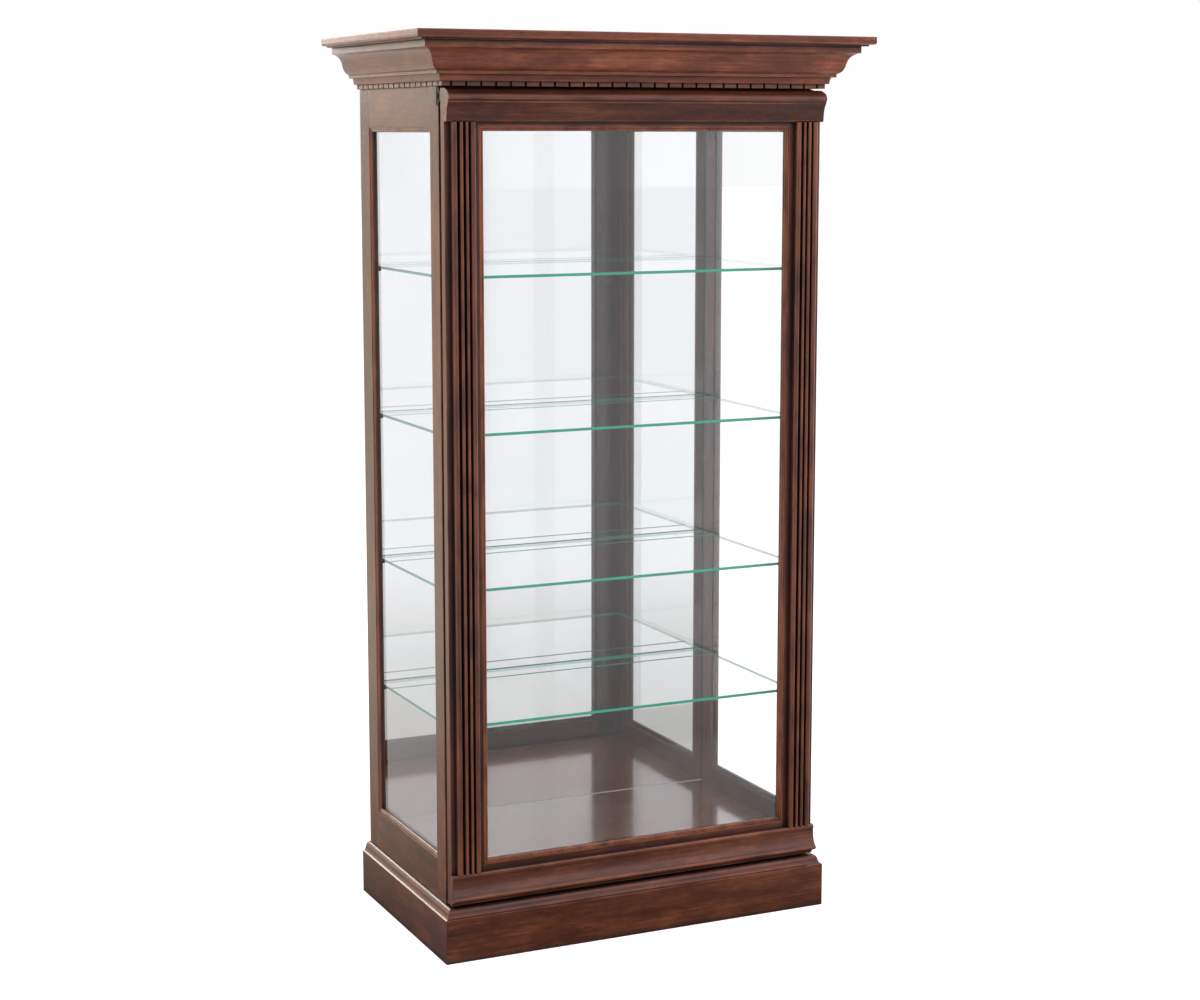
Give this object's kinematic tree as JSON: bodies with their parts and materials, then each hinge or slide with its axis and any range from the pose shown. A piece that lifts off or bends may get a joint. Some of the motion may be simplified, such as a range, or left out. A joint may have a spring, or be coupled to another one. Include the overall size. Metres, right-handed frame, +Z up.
{
  "type": "curio cabinet",
  "caption": "Tall mahogany display cabinet with glass sides, a mirrored back, glass shelves on pins, a dentil cornice and a full-height glazed front that slides sideways.",
  "frame": {"origin": "centre of the bounding box's footprint, at floor level", "axes": "+Z up, +Y to the back, +X to the right of a person who faces the door"},
  "size_m": [1.096, 0.628, 2.032],
  "materials": {
    "mahogany": "satin lacquer over red-brown mahogany stain",
    "mahogany_floor": "polished lacquer over dark mahogany stain",
    "clear_glass": "clear float glass",
    "shelf_glass": "clear float glass with polished green edges",
    "mirror_glass": "silvered plate",
    "back_plywood": "unpolished stained plywood",
    "black_steel": "black passivated steel",
    "pin_steel": "black oxide"
  },
  "bodies": {
    "case": {"plinth_front": "mahogany", "plinth_left": "mahogany", "plinth_right": "mahogany", "plinth_back": "mahogany", "left_front_stile": "mahogany", "left_rear_stile": "mahogany", "left_top_rail": "mahogany", "left_bottom_rail": "mahogany", "left_glass_bead": "mahogany", "left_side_glass": "clear_glass", "right_front_stile": "mahogany", "right_rear_stile": "mahogany", "right_top_rail": "mahogany", "right_bottom_rail": "mahogany", "right_glass_bead": "mahogany", "right_side_glass": "clear_glass", "front_header_rail": "mahogany", "front_sill_rail": "mahogany", "top_panel": "mahogany", "floor_panel": "mahogany_floor", "mirror": "mirror_glass", "back_panel": "back_plywood", "cornice_top_board": "mahogany", "crown_front": "mahogany", "crown_left": "mahogany", "crown_right": "mahogany", "dentil_moulding": "mahogany", "top_slide_case_member": "black_steel", "bottom_slide_case_member": "black_steel", "shelf_1_pin_left_front": "pin_steel", "shelf_1_pin_left_rear": "pin_steel", "shelf_1_pin_right_front": "pin_steel", "shelf_1_pin_right_rear": "pin_steel", "shelf_2_pin_left_front": "pin_steel", "shelf_2_pin_left_rear": "pin_steel", "shelf_2_pin_right_front": "pin_steel", "shelf_2_pin_right_rear": "pin_steel", "shelf_3_pin_left_front": "pin_steel", "shelf_3_pin_left_rear": "pin_steel", "shelf_3_pin_right_front": "pin_steel", "shelf_3_pin_right_rear": "pin_steel", "shelf_4_pin_left_front": "pin_steel", "shelf_4_pin_left_rear": "pin_steel", "shelf_4_pin_right_front": "pin_steel", "shelf_4_pin_right_rear": "pin_steel"},
    "door": {"door_left_stile": "mahogany", "door_right_stile": "mahogany", "door_top_rail": "mahogany", "door_bottom_rail": "mahogany", "door_top_moulding": "mahogany", "door_bottom_moulding": "mahogany", "door_glass": "clear_glass", "door_glass_bead": "mahogany", "top_slide_door_member": "black_steel", "bottom_slide_door_member": "black_steel"},
    "slide_middle": {"top_slide_middle_member": "black_steel"},
    "shelf_1": {"shelf_1": "shelf_glass"},
    "shelf_2": {"shelf_2": "shelf_glass"},
    "shelf_3": {"shelf_3": "shelf_glass"},
    "shelf_4": {"shelf_4": "shelf_glass"}
  },
  "joints": [
    {"name": "door_slide", "type": "slide", "parent": "case", "child": "door", "axis": [1, 0, 0], "range_m": [-0.46, 0.46]},
    {"name": "slide_middle_travel", "type": "slide", "parent": "case", "child": "slide_middle", "axis": [1, 0, 0], "range_m": [-0.23, 0.23]},
    {"name": "shelf_1_lift", "type": "slide", "parent": "case", "child": "shelf_1", "axis": [0, 0, 1], "range_m": [0, 0.025]},
    {"name": "shelf_2_lift", "type": "slide", "parent": "case", "child": "shelf_2", "axis": [0, 0, 1], "range_m": [0, 0.025]},
    {"name": "shelf_3_lift", "type": "slide", "parent": "case", "child": "shelf_3", "axis": [0, 0, 1], "range_m": [0, 0.025]},
    {"name": "shelf_4_lift", "type": "slide", "parent": "case", "child": "shelf_4", "axis": [0, 0, 1], "range_m": [0, 0.025]}
  ],
  "couplings": [
    {"joint": "slide_middle_travel", "follows": "door_slide", "ratio": 0.5}
  ]
}
